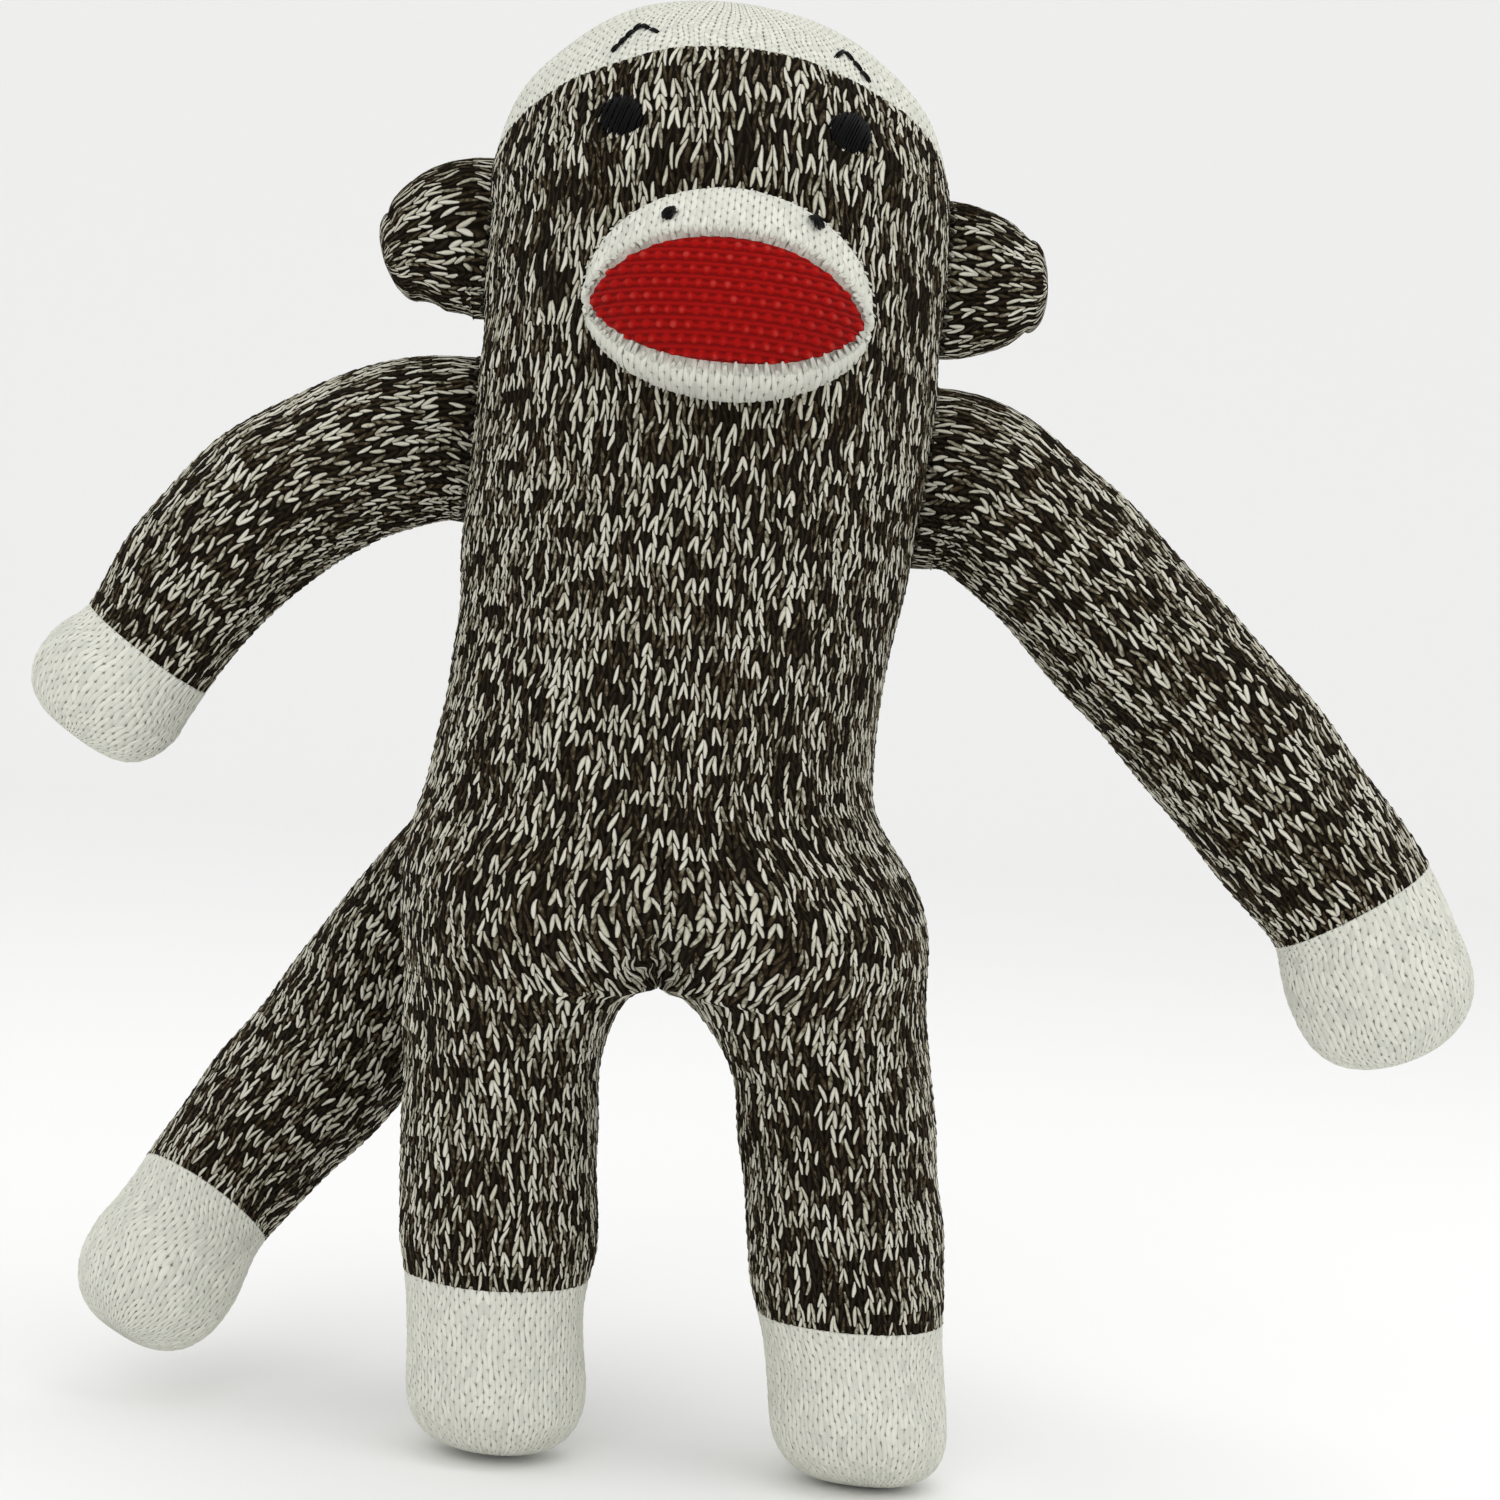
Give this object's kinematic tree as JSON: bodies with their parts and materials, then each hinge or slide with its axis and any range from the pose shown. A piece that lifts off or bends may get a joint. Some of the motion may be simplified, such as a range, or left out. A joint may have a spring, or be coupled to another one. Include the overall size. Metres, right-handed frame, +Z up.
{
  "type": "stuffed toy monkey",
  "caption": "Knitted sock monkey with a flat-eared head, a round muzzle with an open-looking mouth, long arms, two legs and a curved tail, all stuffed.",
  "frame": {"origin": "on the floor under the middle of the overall width and depth, standing", "axes": "+Z up, -Y the way the face looks, +X the monkey's own left side"},
  "size_m": [0.2554, 0.109, 0.2584],
  "materials": {
    "marl_knit": "stocking-stitch knit in light and dark marl yarn",
    "white_knit": "stocking-stitch knit in off-white yarn",
    "red_knit": "dark red knit, purl side out",
    "black_thread": "satin-stitched black thread",
    "grey_thread": "dark sewing thread",
    "white_thread": "off-white sewing thread",
    "fibre_fill": "loose polyester fibre"
  },
  "bodies": {
    "torso": {"torso_skin": "marl_knit", "torso_fill": "fibre_fill", "closing_stitches": "grey_thread", "left_arm_stitches": "grey_thread", "right_arm_stitches": "grey_thread", "tail_stitches": "grey_thread"},
    "head": {"head_skin": "marl_knit", "head_fill": "fibre_fill", "crown_skin": "white_knit", "muzzle_skin": "white_knit", "muzzle_fill": "fibre_fill", "mouth_patch": "red_knit", "muzzle_stitches": "white_thread", "left_eye": "black_thread", "right_eye": "black_thread", "left_brow": "black_thread", "right_brow": "black_thread", "left_nostril": "black_thread", "right_nostril": "black_thread", "left_ear_stitches": "grey_thread", "right_ear_stitches": "grey_thread"},
    "left_ear": {"left_ear_skin": "marl_knit", "left_ear_fill": "fibre_fill"},
    "right_ear": {"right_ear_skin": "marl_knit", "right_ear_fill": "fibre_fill"},
    "left_arm": {"left_arm_skin": "marl_knit", "left_hand_skin": "white_knit", "left_arm_fill": "fibre_fill"},
    "right_arm": {"right_arm_skin": "marl_knit", "right_hand_skin": "white_knit", "right_arm_fill": "fibre_fill"},
    "left_leg": {"left_leg_skin": "marl_knit", "left_foot_skin": "white_knit", "left_leg_fill": "fibre_fill"},
    "right_leg": {"right_leg_skin": "marl_knit", "right_foot_skin": "white_knit", "right_leg_fill": "fibre_fill"},
    "tail": {"tail_skin": "marl_knit", "tail_tip_skin": "white_knit", "tail_fill": "fibre_fill"}
  },
  "joints": [
    {"name": "neck_nod", "type": "hinge", "parent": "torso", "child": "head", "pos_m": [-0.01431, -0.00441, 0.16], "axis": [1, 0, 0], "range_deg": [-15, 20]},
    {"name": "left_ear_fold", "type": "hinge", "parent": "head", "child": "left_ear", "pos_m": [0.02869, -0.00441, 0.213], "axis": [0, 0, -1], "range_deg": [-65, 65]},
    {"name": "right_ear_fold", "type": "hinge", "parent": "head", "child": "right_ear", "pos_m": [-0.05731, -0.00441, 0.214], "axis": [0, 0, 1], "range_deg": [-65, 65]},
    {"name": "left_arm_swing", "type": "hinge", "parent": "torso", "child": "left_arm", "pos_m": [0.02869, -0.00441, 0.177], "axis": [0, 0, -1], "range_deg": [-45, 60]},
    {"name": "right_arm_swing", "type": "hinge", "parent": "torso", "child": "right_arm", "pos_m": [-0.05731, -0.00441, 0.1786], "axis": [0, 0, 1], "range_deg": [-45, 60]},
    {"name": "left_leg_swing", "type": "hinge", "parent": "torso", "child": "left_leg", "pos_m": [0.01069, -0.00441, 0.092], "axis": [-1, 0, 0], "range_deg": [-20, 90]},
    {"name": "right_leg_swing", "type": "hinge", "parent": "torso", "child": "right_leg", "pos_m": [-0.03731, -0.00441, 0.092], "axis": [-1, 0, 0], "range_deg": [-20, 90]},
    {"name": "tail_swing", "type": "hinge", "parent": "torso", "child": "tail", "pos_m": [-0.03411, 0.02739, 0.119], "axis": [0, 0, -1], "range_deg": [0, 70]}
  ]
}
